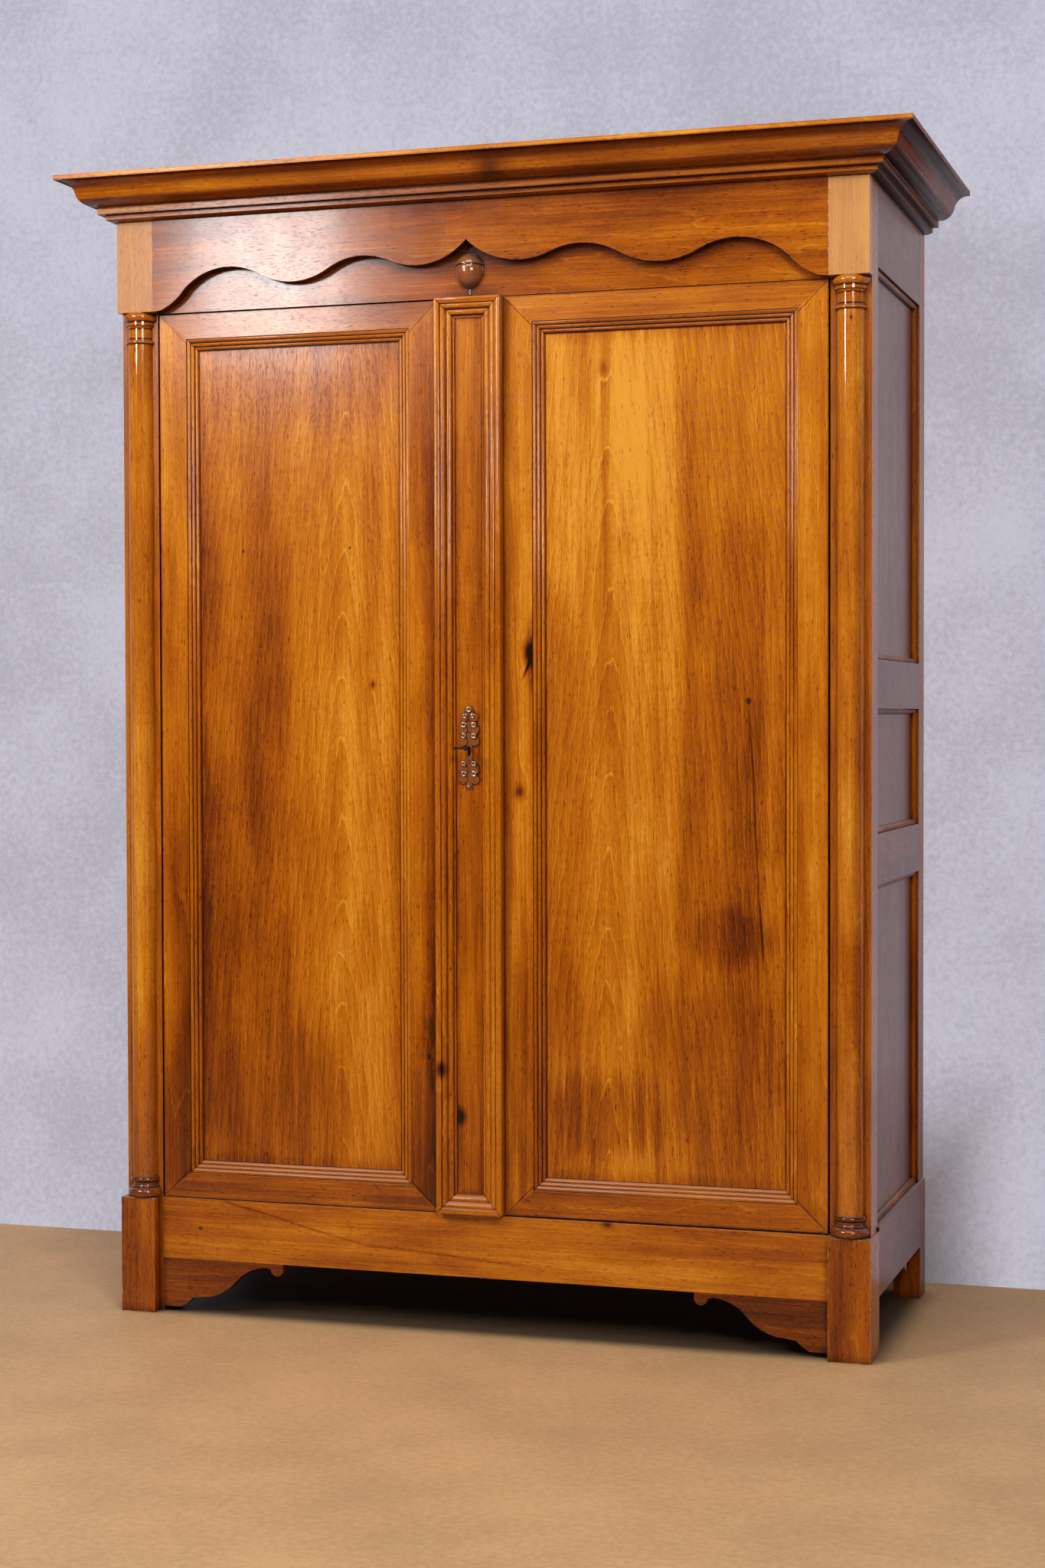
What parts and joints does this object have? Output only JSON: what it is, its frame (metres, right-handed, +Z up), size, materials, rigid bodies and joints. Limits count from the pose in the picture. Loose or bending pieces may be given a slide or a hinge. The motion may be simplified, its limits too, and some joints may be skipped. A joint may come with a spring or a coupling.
{
  "type": "wardrobe",
  "caption": "Wooden wardrobe with framed panel doors on pivots, half columns, scalloped frieze, deep cornice, shelf, hanging rail, key lock and slide bolts.",
  "frame": {"origin": "on the floor, in the middle of the width and depth", "axes": "+Z up, front faces -Y, +X to the viewer's right"},
  "size_m": [1.68, 0.724, 2.24],
  "materials": {
    "walnut_frame": "french polish",
    "walnut_panel": "french polish",
    "walnut_turned": "french polish",
    "walnut_moulding": "french polish",
    "inner_wood": "bare, aged",
    "brass": "old, worn",
    "iron": "dull, dark"
  },
  "bodies": {
    "carcase": {"post_front_left": "walnut_frame", "post_rear_left": "walnut_frame", "frieze_block_left": "walnut_frame", "foot_block_left": "walnut_frame", "side_left_top_rail": "walnut_frame", "side_left_middle_rails": "walnut_frame", "side_left_bottom_rail": "walnut_frame", "bracket_left": "walnut_frame", "column_shaft_left": "walnut_turned", "column_capital_left": "walnut_turned", "column_base_left": "walnut_turned", "side_left_panels": "walnut_panel", "cornice_left": "walnut_moulding", "post_front_right": "walnut_frame", "post_rear_right": "walnut_frame", "frieze_block_right": "walnut_frame", "foot_block_right": "walnut_frame", "side_right_top_rail": "walnut_frame", "side_right_middle_rails": "walnut_frame", "side_right_bottom_rail": "walnut_frame", "bracket_right": "walnut_frame", "column_shaft_right": "walnut_turned", "column_capital_right": "walnut_turned", "column_base_right": "walnut_turned", "side_right_panels": "walnut_panel", "cornice_right": "walnut_moulding", "frieze_board": "walnut_frame", "frieze_rail": "walnut_frame", "front_bottom_rail": "walnut_frame", "cornice_front": "walnut_moulding", "acorn_drop": "walnut_turned", "back_frame": "inner_wood", "back_panels": "inner_wood", "floor_panel": "inner_wood", "inner_cleats": "inner_wood", "top_panel": "inner_wood", "shelf": "inner_wood", "hanging_rail": "inner_wood", "rail_sockets": "inner_wood"},
    "left_door": {"left_door_stiles": "walnut_frame", "left_door_rails": "walnut_frame", "left_door_panel": "walnut_panel", "left_door_moulding": "walnut_moulding", "left_door_pivots": "iron", "lock_keeper": "iron", "slide_bolt_plates": "iron"},
    "right_door": {"right_door_stiles": "walnut_frame", "right_door_rails": "walnut_frame", "right_door_panel": "walnut_panel", "right_door_moulding": "walnut_moulding", "right_door_pivots": "iron", "batten_post": "walnut_frame", "batten_moulding": "walnut_moulding", "escutcheon": "brass", "lock_case": "iron"},
    "upper_bolt": {"upper_slide_bolt": "iron"},
    "lower_bolt": {"lower_slide_bolt": "iron"},
    "key": {"key": "iron"},
    "lock_bolt": {"lock_bolt": "iron"}
  },
  "joints": [
    {"name": "left_door_hinge", "type": "hinge", "parent": "carcase", "child": "left_door", "pos_m": [-0.6595, -0.239, 1.1], "axis": [0, 0, -1], "range_deg": [0, 105]},
    {"name": "right_door_hinge", "type": "hinge", "parent": "carcase", "child": "right_door", "pos_m": [0.6595, -0.239, 1.1], "axis": [0, 0, 1], "range_deg": [0, 105]},
    {"name": "key_turn", "type": "hinge", "parent": "right_door", "child": "key", "pos_m": [-0.021, -0.257, 1.123], "axis": [0, -1, 0], "range_deg": [0, 180]},
    {"name": "lock_bolt_slide", "type": "slide", "parent": "right_door", "child": "lock_bolt", "axis": [-1, 0, 0], "range_m": [0, 0.012]},
    {"name": "upper_bolt_slide", "type": "slide", "parent": "left_door", "child": "upper_bolt", "axis": [0, 0, 1], "range_m": [0, 0.016]},
    {"name": "lower_bolt_slide", "type": "slide", "parent": "left_door", "child": "lower_bolt", "axis": [0, 0, -1], "range_m": [0, 0.014]}
  ],
  "couplings": [
    {"joint": "key_turn", "follows": "lock_bolt_slide", "rad_per_m": 261.79}
  ]
}
